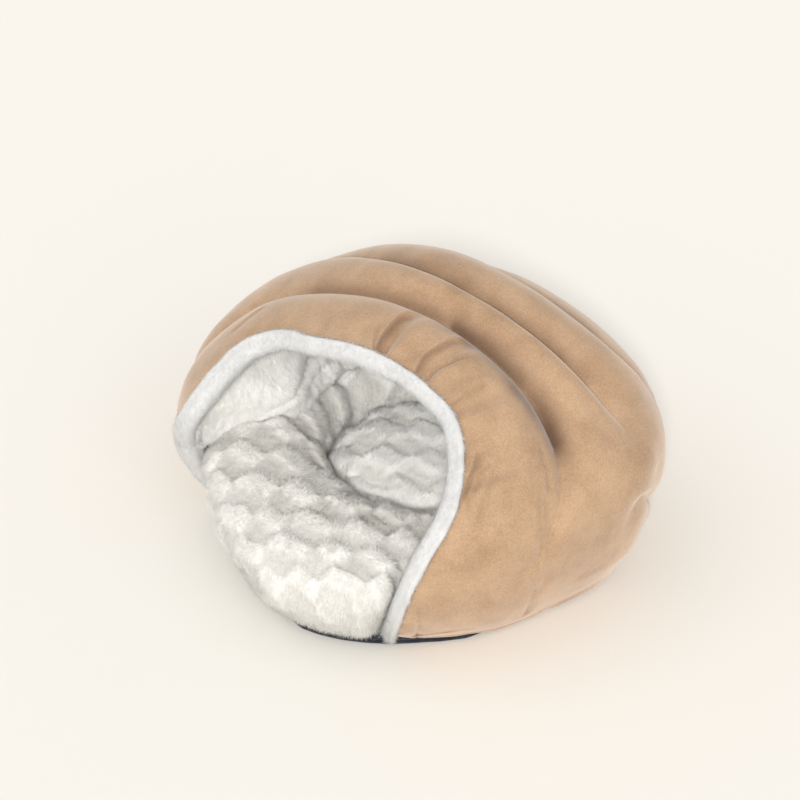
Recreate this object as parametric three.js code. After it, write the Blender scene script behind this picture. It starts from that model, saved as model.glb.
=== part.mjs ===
// Enclosed plush pet bed: a low hooded nest with a wide mouth in front.
// Millimetres, +Z up, mouth towards -Y, origin on the floor at the middle of the base.
import * as THREE from 'three';

// Fullest form of the bed, before its ribs and folds are drawn in.
// Plan: two half ovals that meet on the widest line. Side view: a crown above the
// widest height and an undercut skirt below it.
const HALF_WIDTH = 220;
const FRONT_REACH = 245;
const BACK_REACH = 168;
const CROWN_HEIGHT = 247;
const WIDEST_HEIGHT = 119;
const UNDERCUT_REACH = 161;
const PLAN_FULLNESS = 1.91;
const CROWN_FULLNESS = 1.6;
const SKIRT_FULLNESS = 2.55;
const WIDEST_LINE_Y = 30;

// Clearances between pieces that lie against each other.
const SEAT_GAP = 0.3;
const LAYER_GAP = 2.9;

// Base sheet: a flat cloth whose turned-up edge makes a low bead.
const SHEET_THICKNESS = 3;
const BEAD_HEIGHT = 6;
const BEAD_WIDTH = 7;
const HEM_HEIGHT = BEAD_HEIGHT + SEAT_GAP;

// Nest ring and floor cushion.
const NEST_RADIUS = 97;
const CUSHION_CLEARANCE = 1.5;
const CUSHION_EDGE_HEIGHT = 58;
const CUSHION_CROWN = 12;
const RING_CREST_HEIGHT = 89.6;
const ROLL_CREST_HEIGHT = 96;
const LEFT_CREST_HEIGHT = 99;
const CREST_SHARE = 0.5;
const ROLL_FULLNESS = 1.95;
const RING_CREASE_HEIGHT = 58;

// Height of the ring's crest by angle from the front. The lining stands on it.
const crestRows = [
  [-130, RING_CREST_HEIGHT],
  [-85, LEFT_CREST_HEIGHT],
  [-45, LEFT_CREST_HEIGHT],
  [-30, ROLL_CREST_HEIGHT],
  [15, ROLL_CREST_HEIGHT],
  [31, RING_CREST_HEIGHT],
];

// Hood wall.
const MOUTH_PINCH = 3;
const SHELL_AT_MOUTH = 11;
const SHELL_DEPTH = 27;
const WALL_AT_MOUTH = 17;
const LINING_FOOT_GAP = 0.8;

// Mouth binding, measured across the wall and out of the mouth.
const BINDING_DEPTH_FROM = 1.5;
const BINDING_DEPTH_TO = 18.5;
const BINDING_PROUD = 9.5;

const DEGREE = Math.PI / 180;

function mix(from, to, share) {
  return from + (to - from) * share;
}

function clampShare(value) {
  return Math.min(1, Math.max(0, value));
}

function smooth(value) {
  const share = clampShare(value);
  return share * share * (3 - 2 * share);
}

// A line through rows of [where, value], straight between rows.
function table(rows, where) {
  let row = 1;
  while (row < rows.length - 1 && where > rows[row][0]) row += 1;
  const [x0, y0] = rows[row - 1];
  const [x1, y1] = rows[row];
  return mix(y0, y1, clampShare((where - x0) / (x1 - x0)));
}

// Share of the full plan size that the outline has at a height.
function planShare(height) {
  if (height > WIDEST_HEIGHT) {
    const rise = (height - WIDEST_HEIGHT) / (CROWN_HEIGHT - WIDEST_HEIGHT);
    return Math.max(0, 1 - rise ** CROWN_FULLNESS) ** (1 / CROWN_FULLNESS);
  }
  const drop = (WIDEST_HEIGHT - height) / UNDERCUT_REACH;
  return (1 - drop ** SKIRT_FULLNESS) ** (1 / SKIRT_FULLNESS);
}

// Places where the stuffing leaves the form slack (positive depth) or fills it out more
// (negative), on the flat cloth of the hood: middle, how far it reaches, and depth.
const slacks = [
  { across: 0.9, back: -0.3, reach: 0.22, depth: 7 },
  { across: -0.63, back: -0.38, reach: 0.13, depth: 4 },
  { across: -0.9, back: -0.47, reach: 0.2, depth: 7 },
  { across: 0.12, back: 0.5, reach: 0.2, depth: 3 },
  { across: -0.08, back: 0.12, reach: 0.2, depth: -4 },
  { across: 0.2, back: -0.98, reach: 0.24, depth: -3.5 },
];

function slackAt(across, back) {
  let depth = 0;
  for (const slack of slacks) {
    const away = Math.hypot(across - slack.across, back - slack.back) / slack.reach;
    depth += slack.depth * Math.exp(-away * away);
  }
  return depth;
}

// A point on the outline at an angle from the front (right side positive),
// at a height and at a depth inside the form.
function outlinePoint(angle, height, depth) {
  const sine = Math.sin(angle);
  const cosine = Math.cos(angle);
  const way = shareOfHeight(height);
  const inside = depth + slackAt(way * sine, -way * cosine);
  const reach = (cosine > 0 ? FRONT_REACH : BACK_REACH) - inside;
  const spread = Math.abs(sine) ** PLAN_FULLNESS + Math.abs(cosine) ** PLAN_FULLNESS;
  const share = planShare(height) / spread ** (1 / PLAN_FULLNESS);
  let level = height;
  if (height > WIDEST_HEIGHT) {
    const rise = (height - WIDEST_HEIGHT) / (CROWN_HEIGHT - WIDEST_HEIGHT);
    level = WIDEST_HEIGHT + rise * (CROWN_HEIGHT - inside - WIDEST_HEIGHT);
  }
  return new THREE.Vector3(
    (HALF_WIDTH - inside) * share * sine,
    WIDEST_LINE_Y - reach * share * cosine,
    level,
  );
}

// The cloth of the hood laid flat is a disc: its middle is the crown, its edge the hem.
// This gives the height that each share of the way from crown to hem has.
const MERIDIAN_STEPS = 400;
const meridian = [[0, CROWN_HEIGHT]];
{
  const span = CROWN_HEIGHT - WIDEST_HEIGHT;
  const typicalRadius = 200;
  const heights = [];
  for (let step = 1; step <= MERIDIAN_STEPS; step += 1) {
    heights.push(WIDEST_HEIGHT + span * Math.cos((step / MERIDIAN_STEPS) * 90 * DEGREE));
  }
  for (let step = 1; step <= MERIDIAN_STEPS; step += 1) {
    heights.push(mix(WIDEST_HEIGHT, HEM_HEIGHT, step / MERIDIAN_STEPS));
  }
  let travelled = 0;
  let lastHeight = CROWN_HEIGHT;
  for (const height of heights) {
    const outward = typicalRadius * (planShare(height) - planShare(lastHeight));
    travelled += Math.hypot(outward, height - lastHeight);
    meridian.push([travelled, height]);
    lastHeight = height;
  }
  for (const row of meridian) row[0] /= travelled;
}

function heightOfShare(share) {
  let low = 0;
  let high = meridian.length - 1;
  while (high - low > 1) {
    const middle = (low + high) >> 1;
    if (meridian[middle][0] > share) high = middle;
    else low = middle;
  }
  const [s0, h0] = meridian[low];
  const [s1, h1] = meridian[high];
  return mix(h0, h1, clampShare((share - s0) / (s1 - s0)));
}

function shareOfHeight(height) {
  let index = 1;
  while (index < meridian.length - 1 && meridian[index][1] > height) index += 1;
  const [s0, h0] = meridian[index - 1];
  const [s1, h1] = meridian[index];
  return mix(s0, s1, clampShare((height - h0) / (h1 - h0)));
}

function domePoint(place, depth) {
  const share = Math.min(1, Math.hypot(place.across, place.back));
  return outlinePoint(Math.atan2(place.across, -place.back), heightOfShare(share), depth);
}

// Seams and edges of the hood cloth on that disc, station by station from the right
// front foot, over the top, to the left front foot. Each place is [across, back].
// mouth: cut edge; tack1 to tack3: the sewn lines between ribs; waist: the tuck above
// the side wall; hem: angle from the front in degrees. draw1 to draw3 and tuck are how
// deep the cloth is drawn in there.
const stationColumns = [
  'mouth', 'tack1', 'tack2', 'tack3', 'waist', 'hem', 'draw1', 'draw2', 'draw3', 'tuck',
];
const stationRows = [
  [[0.50, -0.866], [0.50, -0.866], [0.50, -0.866], [0.50, -0.866], [0.50, -0.866], 30, 0, 0, 0, 0],
  [[0.477, -0.74], [0.63, -0.63], [0.70, -0.58], [0.76, -0.53], [0.82, -0.48], 66, 0, 0, 0, 0],
  [[0.45, -0.62], [0.66, -0.37], [0.71, -0.28], [0.76, -0.20], [0.83, -0.09], 89, 2, 0, 0, 0],
  [[0.43, -0.51], [0.60, -0.24], [0.63, -0.17], [0.66, -0.10], [0.70, 0.0], 108, 8, 0, 0, 4],
  [[0.41, -0.41], [0.55, -0.165], [0.585, 0.02], [0.65, 0.19], [0.77, 0.31], 125, 18, 0, 0, 9],
  [[0.355, -0.32], [0.47, -0.115], [0.475, 0.07], [0.475, 0.39], [0.575, 0.595], 142, 25, 14, 4, 6],
  [[0.275, -0.255], [0.355, -0.08], [0.355, 0.075], [0.35, 0.36], [0.365, 0.70], 156, 25, 22, 13, 5],
  [[0.15, -0.232], [0.185, -0.065], [0.18, 0.05], [0.175, 0.325], [0.175, 0.75], 168, 22, 20, 15, 5],
  [[0.01, -0.228], [0, -0.075], [0, 0.03], [0, 0.30], [0, 0.76], 180, 18, 17, 15, 5],
  [[-0.12, -0.243], [-0.15, -0.085], [-0.17, 0.06], [-0.17, 0.31], [-0.17, 0.745], 192, 14, 15, 14, 5],
  [[-0.24, -0.243], [-0.29, -0.095], [-0.32, 0.11], [-0.33, 0.34], [-0.355, 0.675], 204, 12, 14, 13, 5],
  [[-0.325, -0.285], [-0.40, -0.11], [-0.44, 0.10], [-0.46, 0.35], [-0.525, 0.545], 217, 10, 13, 12, 6],
  [[-0.37, -0.375], [-0.49, -0.16], [-0.55, 0.03], [-0.61, 0.18], [-0.68, 0.31], 231, 9, 4, 0, 7],
  [[-0.43, -0.455], [-0.57, -0.25], [-0.64, -0.12], [-0.69, -0.02], [-0.74, 0.08], 246, 5, 0, 0, 4],
  [[-0.56, -0.49], [-0.67, -0.36], [-0.74, -0.25], [-0.81, -0.13], [-0.88, -0.02], 261, 2, 0, 0, 0],
  [[-0.72, -0.51], [-0.79, -0.42], [-0.85, -0.34], [-0.90, -0.27], [-0.945, -0.21], 278, 0, 0, 0, 0],
  [[-0.86, -0.51], [-0.86, -0.51], [-0.86, -0.51], [-0.86, -0.51], [-0.86, -0.51], 300.7, 0, 0, 0, 0],
];
const stations = stationRows.map((row) => {
  const station = {};
  stationColumns.forEach((column, index) => {
    station[column] = row[index];
  });
  return station;
});
const LAST_STATION = stations.length - 1;

// A smooth run through one column of the table.
function catmullRom(before, from, to, after, share) {
  const a = 2 * from;
  const b = to - before;
  const c = 2 * before - 5 * from + 4 * to - after;
  const d = after - before + 3 * (from - to);
  return 0.5 * (a + share * (b + share * (c + share * d)));
}

function run(column, station, pick) {
  const index = Math.min(LAST_STATION - 1, Math.floor(station));
  const at = (offset) => {
    const row = stations[Math.min(LAST_STATION, Math.max(0, index + offset))];
    return pick(row[column]);
  };
  return catmullRom(at(-1), at(0), at(1), at(2), station - index);
}

function placeOn(column, station) {
  if (column === 'hem') {
    const angle = run('hem', station, (value) => value) * DEGREE;
    return { across: Math.sin(angle), back: -Math.cos(angle) };
  }
  const across = run(column, station, (value) => value[0]);
  const back = run(column, station, (value) => value[1]);
  return { across, back };
}

function drawOn(column, station) {
  return Math.max(0, run(column, station, (value) => value));
}

function between(from, to, share) {
  return {
    across: mix(from.across, to.across, share),
    back: mix(from.back, to.back, share),
  };
}

// Pleats that gather the first rib into the mouth seam: station, depth at the mouth,
// depth at the first tack line, and half width in stations.
const pleats = [
  { station: 7.76, atMouth: 6, atTack: 2, half: 0.1 },
  { station: 7.0, atMouth: 5, atTack: 2.5, half: 0.11 },
  { station: 6.1, atMouth: 3.5, atTack: 0.5, half: 0.13 },
  { station: 4.55, atMouth: 3, atTack: 0.5, half: 0.12 },
];

// Beside each pleat the cloth stands proud by a share of its depth, this many half
// widths off.
const PLEAT_SHOULDER = 0.45;
const SHOULDER_OFFSET = 1.9;

// The pleats fade out towards the tack line at this rate.
const PLEAT_FADE = 3;

function pleatDepth(station, share) {
  let depth = 0;
  for (const pleat of pleats) {
    const off = (station - pleat.station) / pleat.half;
    const shoulder = PLEAT_SHOULDER * Math.exp(-((Math.abs(off) - SHOULDER_OFFSET) ** 2));
    const trough = Math.exp(-off * off) - shoulder;
    depth += mix(pleat.atMouth, pleat.atTack, share) * trough;
  }
  return depth * smooth(PLEAT_FADE * (1 - share));
}

// Cross section of a stuffed rib between two tacked lines.
const RIB_SHARPNESS = 2.2;

function ribSink(share, drawBefore, drawAfter) {
  if (share < 0.5) return drawBefore * (1 - 2 * share) ** RIB_SHARPNESS;
  return drawAfter * (2 * share - 1) ** RIB_SHARPNESS;
}

// Strips of the shell from the mouth to the hem, with the rows of each.
const RIB_ROWS = [0, 0.07, 0.2, 0.36, 0.5, 0.64, 0.8, 0.93];
const WALL_ROWS = [0, 0.07, 0.2, 0.4, 0.6, 0.8, 1];
const strips = [
  { from: 'mouth', to: 'tack1', rows: RIB_ROWS },
  { from: 'tack1', to: 'tack2', rows: RIB_ROWS, drawFrom: 'draw1' },
  { from: 'tack2', to: 'tack3', rows: RIB_ROWS, drawFrom: 'draw2' },
  { from: 'tack3', to: 'waist', rows: RIB_ROWS, drawFrom: 'draw3' },
  { from: 'waist', to: 'hem', rows: WALL_ROWS, drawFrom: 'tuck' },
];

function shellOuterColumn(station) {
  const points = [];
  strips.forEach((strip, index) => {
    const from = placeOn(strip.from, station);
    const to = placeOn(strip.to, station);
    const next = strips[index + 1];
    const drawBefore = strip.drawFrom ? drawOn(strip.drawFrom, station) : MOUTH_PINCH;
    const drawAfter = next ? drawOn(next.drawFrom, station) : 0;
    for (const share of strip.rows) {
      let depth = ribSink(share, drawBefore, drawAfter);
      if (index === 0) depth += pleatDepth(station, share);
      points.push(domePoint(between(from, to, share), depth));
    }
  });
  return points;
}

// Distance on the flat cloth from a place to the mouth edge.
const MOUTH_SAMPLES = 240;
const mouthLine = [];
for (let step = 0; step <= MOUTH_SAMPLES; step += 1) {
  mouthLine.push(placeOn('mouth', (step / MOUTH_SAMPLES) * LAST_STATION));
}

function awayFromMouth(place) {
  let nearest = Infinity;
  for (const sample of mouthLine) {
    const away = Math.hypot(place.across - sample.across, place.back - sample.back);
    nearest = Math.min(nearest, away);
  }
  return nearest;
}

// The lining stands on the crest of the ring.
function liningFootHeight(point) {
  const angle = Math.atan2(point.x, WIDEST_LINE_Y - point.y) / DEGREE;
  return table(crestRows, angle) + LINING_FOOT_GAP;
}

// Share of the way from crown to hem at which the lining ends, at an angle.
function liningFootShare(angle) {
  return shareOfHeight(liningFootHeight(outlinePoint(angle, RING_CREST_HEIGHT, 0)));
}

// The stations where the mouth edge passes the foot of the lining, on either side.
const HALVINGS = 40;

function stationAtFoot(low, high) {
  const reach = (station) => {
    const place = placeOn('mouth', station);
    const angle = Math.atan2(place.across, -place.back);
    return Math.hypot(place.across, place.back) - liningFootShare(angle);
  };
  let [from, to] = [low, high];
  for (let turn = 0; turn < HALVINGS; turn += 1) {
    const middle = (from + to) / 2;
    if (reach(middle) * reach(from) > 0) from = middle;
    else to = middle;
  }
  return (from + to) / 2;
}

const MIDDLE_STATION = LAST_STATION / 2;
const LINING_FIRST = stationAtFoot(0, MIDDLE_STATION);
const LINING_LAST = stationAtFoot(LAST_STATION, MIDDLE_STATION);

// How far the inner face of the shell lies inside the fullest form.
const EDGE_ROUNDING = 0.16;

function shellDepth(place) {
  return mix(SHELL_AT_MOUTH, SHELL_DEPTH, smooth(awayFromMouth(place) / EDGE_ROUNDING));
}

const SHELL_INNER_ROWS = 18;

function shellInnerColumn(station) {
  const mouth = placeOn('mouth', station);
  const hem = placeOn('hem', station);
  const middle = placeOn('tack3', station);
  const points = [];
  for (let row = 0; row <= SHELL_INNER_ROWS; row += 1) {
    const share = row / SHELL_INNER_ROWS;
    const place = share < 0.5
      ? between(mouth, middle, 2 * share)
      : between(middle, hem, 2 * share - 1);
    points.push(domePoint(place, shellDepth(place)));
  }
  return points;
}

// Depth of the plush face inside the fullest form, by share of the way from crown to hem:
// the filled wall is thin at the crown and thick where it stands on the ring.
const liningDepthRows = [[0.1, 40], [0.3, 45], [0.45, 58], [0.6, 78], [0.76, 93]];
const LINING_ROUNDING = 0.16;

// It swells further low down on the left. Rows: angle from the front, and how much.
const liningSwellRows = [[-150, 0], [-114, 17], [-90, 20], [-72, 15], [-50, 4], [-38, 0]];
const SWELL_FROM = 0.35;
const SWELL_OVER = 0.35;

function liningDepth(place, channel) {
  const way = Math.hypot(place.across, place.back);
  const swell = table(liningSwellRows, Math.atan2(place.across, -place.back) / DEGREE);
  const full = table(liningDepthRows, way) + swell * smooth((way - SWELL_FROM) / SWELL_OVER);
  return mix(WALL_AT_MOUTH, full - channel, smooth(awayFromMouth(place) / LINING_ROUNDING));
}

// Lower edge of the lining, from one side of the mouth round the back to the other. Its
// columns crowd a little towards the ends.
const FOOT_CROWDING = 0.05;

function liningFootPlace(station) {
  const first = placeOn('mouth', LINING_FIRST);
  const last = placeOn('mouth', LINING_LAST);
  const firstAngle = Math.atan2(first.across, -first.back);
  const lastAngle = 2 * Math.PI + Math.atan2(last.across, -last.back);
  const share = (station - LINING_FIRST) / (LINING_LAST - LINING_FIRST);
  const crowding = FOOT_CROWDING * Math.sin(4 * Math.PI * share);
  const angle = mix(firstAngle, lastAngle, share + crowding);
  const foot = liningFootShare(angle);
  return { across: foot * Math.sin(angle), back: -foot * Math.cos(angle) };
}

// Channels of the lining, where the tacks of the ribs come through, as shares of the
// way from mouth to foot: at the crown and near the sides. They fade where that way is
// shorter than FULL_CHANNEL_WAY, towards the two ends of the lining.
const crownChannels = [0, 0.12, 0.26, 0.5, 1];
const sideChannels = [0, 0.25, 0.5, 0.75, 1];
const LOBE_ROWS = { inner: 4, outer: 3 };
const LOBE_ROUNDNESS = 0.7;
const CHANNEL_DEPTH = 7;
const FULL_CHANNEL_WAY = 0.9;
const SIDE_STATIONS = 4.5;

function liningColumn(station, face) {
  const atPole = station === LINING_FIRST || station === LINING_LAST;
  const edge = placeOn('mouth', station);
  const foot = liningFootPlace(station);
  const sideways = smooth(Math.abs(station - MIDDLE_STATION) / SIDE_STATIONS);
  const way = Math.hypot(foot.across - edge.across, foot.back - edge.back);
  const channelDepth = CHANNEL_DEPTH * smooth(way / FULL_CHANNEL_WAY);
  const points = [];
  const lobeRows = LOBE_ROWS[face];
  const rows = (crownChannels.length - 1) * lobeRows;
  for (let row = 0; row <= rows; row += 1) {
    const lobe = Math.min(crownChannels.length - 2, Math.floor(row / lobeRows));
    const within = row / lobeRows - lobe;
    const from = mix(crownChannels[lobe], sideChannels[lobe], sideways);
    const to = mix(crownChannels[lobe + 1], sideChannels[lobe + 1], sideways);
    const share = atPole ? 0 : mix(from, to, within);
    const place = between(edge, foot, share);
    const fullness = Math.sin(Math.PI * within) ** LOBE_ROUNDNESS;
    const depth = face === 'inner'
      ? liningDepth(place, channelDepth * (1 - fullness))
      : shellDepth(place) + LAYER_GAP;
    const point = domePoint(place, depth);
    point.z = Math.max(point.z, liningFootHeight(point));
    points.push(point);
  }
  return points;
}

// A closed solid from triangles of points, turned so that its faces point out.
function closedSolid(points, triangles) {
  const positions = new Float32Array(points.length * 3);
  points.forEach((point, index) => point.toArray(positions, index * 3));
  let volume = 0;
  const cross = new THREE.Vector3();
  for (const [a, b, c] of triangles) {
    volume += points[a].dot(cross.crossVectors(points[b], points[c]));
  }
  const ordered = volume > 0 ? triangles : triangles.map(([a, b, c]) => [a, c, b]);
  const geometry = new THREE.BufferGeometry();
  geometry.setAttribute('position', new THREE.BufferAttribute(positions, 3));
  geometry.setIndex(ordered.flat());
  geometry.computeVertexNormals();
  return geometry;
}

// A filled panel between an outer and an inner face. The columns of each face run from
// the mouth to the foot, and the first and last column shrink to a point.
function panelSolid(outerColumns, innerColumns) {
  const points = [];
  const triangles = [];
  const lastColumn = outerColumns.length - 1;
  const addFace = (columns) => columns.map((column, index) => {
    if (index === 0 || index === lastColumn) {
      points.push(column[0]);
      return column.map(() => points.length - 1);
    }
    return column.map((point) => points.push(point) - 1);
  });
  const outer = addFace(outerColumns);
  const inner = addFace(innerColumns);
  const addTriangle = (a, b, c) => {
    if (a !== b && b !== c && a !== c) triangles.push([a, b, c]);
  };
  const addQuad = (a, b, c, d) => {
    if (points[a].distanceTo(points[c]) < points[b].distanceTo(points[d])) {
      addTriangle(a, b, c);
      addTriangle(a, c, d);
    } else {
      addTriangle(a, b, d);
      addTriangle(b, c, d);
    }
  };
  for (let column = 0; column < lastColumn; column += 1) {
    const [near, next] = [outer[column], outer[column + 1]];
    for (let row = 0; row < near.length - 1; row += 1) {
      addQuad(near[row], near[row + 1], next[row + 1], next[row]);
    }
    const [nearIn, nextIn] = [inner[column], inner[column + 1]];
    for (let row = 0; row < nearIn.length - 1; row += 1) {
      addQuad(nearIn[row], nextIn[row], nextIn[row + 1], nearIn[row + 1]);
    }
    addQuad(near[0], next[0], nextIn[0], nearIn[0]);
    addQuad(near.at(-1), nearIn.at(-1), nextIn.at(-1), next.at(-1));
  }
  return closedSolid(points, triangles);
}

// A closed ring from sections that all have the same number of points.
function ringSolid(sections) {
  const points = sections.flat();
  const triangles = [];
  const size = sections[0].length;
  sections.forEach((section, index) => {
    const base = index * size;
    const next = ((index + 1) % sections.length) * size;
    for (let k = 0; k < size; k += 1) {
      const l = (k + 1) % size;
      triangles.push([base + k, base + l, next + l], [base + k, next + l, next + k]);
    }
  });
  return closedSolid(points, triangles);
}

// A swept band with flat ends.
function bandSolid(sections) {
  const points = sections.flat();
  const triangles = [];
  const size = sections[0].length;
  const last = (sections.length - 1) * size;
  for (let index = 0; index < sections.length - 1; index += 1) {
    const base = index * size;
    const next = base + size;
    for (let k = 0; k < size; k += 1) {
      const l = (k + 1) % size;
      triangles.push([base + k, base + l, next + l], [base + k, next + l, next + k]);
    }
  }
  for (let k = 1; k < size - 1; k += 1) {
    triangles.push([0, k + 1, k], [last, last + k, last + k + 1]);
  }
  return closedSolid(points, triangles);
}

// Columns of the hood: even steps, with closer ones across each pleat, given in half
// widths from its middle.
const COLUMNS_PER_STATION = 3.5;
const CLOSEST_COLUMNS = 0.055;
const PLEAT_CLEARANCE = 0.12;
const PLEAT_COLUMNS = [-2.6, -1.7, -0.8, 0, 0.8, 1.7, 2.6];

function hoodStations() {
  const even = [];
  const steps = LAST_STATION * COLUMNS_PER_STATION;
  for (let step = 0; step <= steps; step += 1) even.push(step / COLUMNS_PER_STATION);
  const close = [];
  for (const pleat of pleats) {
    for (const off of PLEAT_COLUMNS) close.push(pleat.station + off * pleat.half);
  }
  const isApart = (value) => close.every((other) => Math.abs(other - value) > PLEAT_CLEARANCE);
  const apart = even.filter(isApart);
  const all = [...close, ...apart].sort((a, b) => a - b);
  return all.filter((value, index) => index === 0 || value - all[index - 1] > CLOSEST_COLUMNS);
}

// Hood shell.
function hoodShell() {
  const columns = hoodStations();
  return panelSolid(columns.map(shellOuterColumn), columns.map(shellInnerColumn));
}

// Hood lining.
const LINING_COLUMNS = 48;

function hoodLining() {
  const outer = [];
  const inner = [];
  for (let column = 0; column <= LINING_COLUMNS; column += 1) {
    const station = mix(LINING_FIRST, LINING_LAST, column / LINING_COLUMNS);
    outer.push(liningColumn(station, 'outer'));
    inner.push(liningColumn(station, 'inner'));
  }
  return panelSolid(outer, inner);
}

// Mouth binding: a half-round band against the cut edges of shell and lining.
const BINDING_ARC_STEPS = 7;
const BINDING_GAP = 0.9;
const TANGENT_STEP = 0.04;

function mouthBinding() {
  const columns = hoodStations();
  const middleDepth = (BINDING_DEPTH_FROM + BINDING_DEPTH_TO) / 2;
  const halfDepth = (BINDING_DEPTH_TO - BINDING_DEPTH_FROM) / 2;
  const foot = HEM_HEIGHT + SEAT_GAP;
  const sections = columns.map((station, index) => {
    const behind = placeOn('mouth', Math.max(0, station - TANGENT_STEP));
    const ahead = placeOn('mouth', Math.min(LAST_STATION, station + TANGENT_STEP));
    const along = domePoint(ahead, middleDepth).sub(domePoint(behind, middleDepth)).normalize();
    const place = placeOn('mouth', station);
    const outside = domePoint(place, BINDING_DEPTH_FROM);
    const inside = domePoint(place, BINDING_DEPTH_TO);
    const middle = outside.clone().add(inside).multiplyScalar(0.5);
    const inward = inside.clone().sub(outside);
    inward.addScaledVector(along, -inward.dot(along)).normalize();
    const forward = new THREE.Vector3().crossVectors(inward, along).normalize();
    if (forward.y > 0) forward.negate();
    const section = [];
    for (let k = 0; k <= BINDING_ARC_STEPS; k += 1) {
      const angle = mix(-90, 90, k / BINDING_ARC_STEPS) * DEGREE;
      const point = middle.clone();
      point.addScaledVector(inward, halfDepth * Math.sin(angle));
      point.addScaledVector(forward, BINDING_GAP + BINDING_PROUD * Math.cos(angle));
      if (index === 0 || index === columns.length - 1) {
        point.addScaledVector(along, (foot - point.z) / along.z);
      }
      section.push(point);
    }
    return section;
  });
  return bandSolid(sections);
}

// Nest ring: its outside lies inside the shell where the shell covers it, and swells to
// the full outline between the feet of the mouth. Rows: angle from the front (right side
// positive), and the depth of its outside there at floor height.
const RIGHT_LEAN = 0.066;
const LEFT_LEAN = 0.155;
const RING_COVERED_DEPTH = SHELL_DEPTH + LAYER_GAP;
const ringDepthRows = [
  [-71, RING_COVERED_DEPTH],
  [-66, 28],
  [-61, 26.5],
  [-54, 24],
  [-45, 22],
  [-32, 19],
  [-20, 12],
  [-8, 4],
  [4, 0],
  [19, 0],
  [21, 4],
  [22.5, 13],
  [24, RING_COVERED_DEPTH],
];

// The edges of the mouth lean back as they rise, so each row's angle moves with height.
function ringDepth(angle, height) {
  const lean = angle > 0 ? RIGHT_LEAN : LEFT_LEAN;
  return table(ringDepthRows, angle - lean * height);
}

// Shape of the ring's section: the height where its outside starts to round over and how
// full that round is, by angle from the front.
const shoulderHeightRows = [[-50, 72], [-20, 62], [10, 60], [30, 72]];
const shoulderFullnessRows = [[-50, 3.4], [-20, 2.3], [10, 2.2], [30, 3.2]];
// A crease down the inside of the ring on the left, where its ends are sewn together.
const RING_SEAM_ANGLE = -97;
const RING_SEAM_WIDTH = 6;
const RING_SEAM_DEPTH = 6;

// Section of the ring: heights of its side, turns over its outer shoulder and down to the
// nest, and how far its foot stands back from the hem and the nest wall.
const RING_SIDE_HEIGHTS = [HEM_HEIGHT, 14, 24, 38, 52];
const SHOULDER_TURNS = [0, 20, 40, 60, 90];
const NEST_TURNS = [70, 50, 30, 12, 0];
const HEM_RECESS = 0.6;
const FOOT_RECESS = 0.4;
const NEST_RECESS = 2;

function ringSection(angleFromFront) {
  const angle = angleFromFront * DEGREE;
  const heading = new THREE.Vector2(Math.sin(angle), -Math.cos(angle));
  const onRay = (radius, height) => new THREE.Vector3(
    heading.x * radius,
    WIDEST_LINE_Y + heading.y * radius,
    height,
  );
  // The outline turns by its own angle, so its radius is looked up along this heading.
  const side = angle < 0 ? -1 : 1;
  const outlineRadius = (height, depth) => {
    let low = 0;
    let high = Math.PI;
    let point = outlinePoint(low, height, depth);
    for (let turn = 0; turn < HALVINGS; turn += 1) {
      const middle = (low + high) / 2;
      point = outlinePoint(side * middle, height, depth);
      const reached = Math.atan2(side * point.x, WIDEST_LINE_Y - point.y);
      if (reached < Math.abs(angle)) low = middle;
      else high = middle;
    }
    return Math.hypot(point.x, point.y - WIDEST_LINE_Y);
  };
  const outerAt = (height) => outlineRadius(height, ringDepth(angleFromFront, height));
  const seamOff = (angleFromFront - RING_SEAM_ANGLE) / RING_SEAM_WIDTH;
  const seam = Math.exp(-seamOff * seamOff);
  const nestRadius = NEST_RADIUS + RING_SEAM_DEPTH * seam;
  const crest = table(crestRows, angleFromFront) - RING_SEAM_DEPTH * seam;
  const shoulderHeight = table(shoulderHeightRows, angleFromFront);
  const shoulder = outerAt(shoulderHeight);
  const crestRadius = mix(nestRadius, shoulder, CREST_SHARE);
  const points = [];
  const floor = SHEET_THICKNESS + SEAT_GAP;
  const hemDepth = ringDepth(angleFromFront, HEM_HEIGHT);
  const stepDepth = Math.max(BEAD_WIDTH + 1, hemDepth + HEM_RECESS);
  points.push(onRay(NEST_RADIUS + NEST_RECESS, floor));
  points.push(onRay(outlineRadius(SHEET_THICKNESS, stepDepth + FOOT_RECESS), floor));
  points.push(onRay(outlineRadius(HEM_HEIGHT, stepDepth), HEM_HEIGHT));
  for (const height of RING_SIDE_HEIGHTS) points.push(onRay(outerAt(height), height));
  const outerPower = 2 / table(shoulderFullnessRows, angleFromFront);
  for (const turn of SHOULDER_TURNS) {
    const flat = Math.cos(turn * DEGREE) ** outerPower;
    const up = Math.sin(turn * DEGREE) ** outerPower;
    const radius = mix(crestRadius, shoulder, flat);
    points.push(onRay(radius, mix(shoulderHeight, crest, up)));
  }
  const innerPower = 2 / ROLL_FULLNESS;
  for (const turn of NEST_TURNS) {
    const flat = Math.cos(turn * DEGREE) ** innerPower;
    const up = Math.sin(turn * DEGREE) ** innerPower;
    const radius = mix(crestRadius, nestRadius, flat);
    points.push(onRay(radius, mix(RING_CREASE_HEIGHT, crest, up)));
  }
  points.push(onRay(NEST_RADIUS + NEST_RECESS, RING_CREASE_HEIGHT / 2));
  return points;
}

// Columns of the ring: one in each step of degrees, more at its seam and most where it
// swells out of the shell beside the right foot of the mouth.
const RING_STEP = 6;
const SEAM_COLUMNS = 2;
const SWELL_COLUMNS = 4;
const SWELL_FIRST = 12;
const SWELL_LAST = 30;

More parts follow.
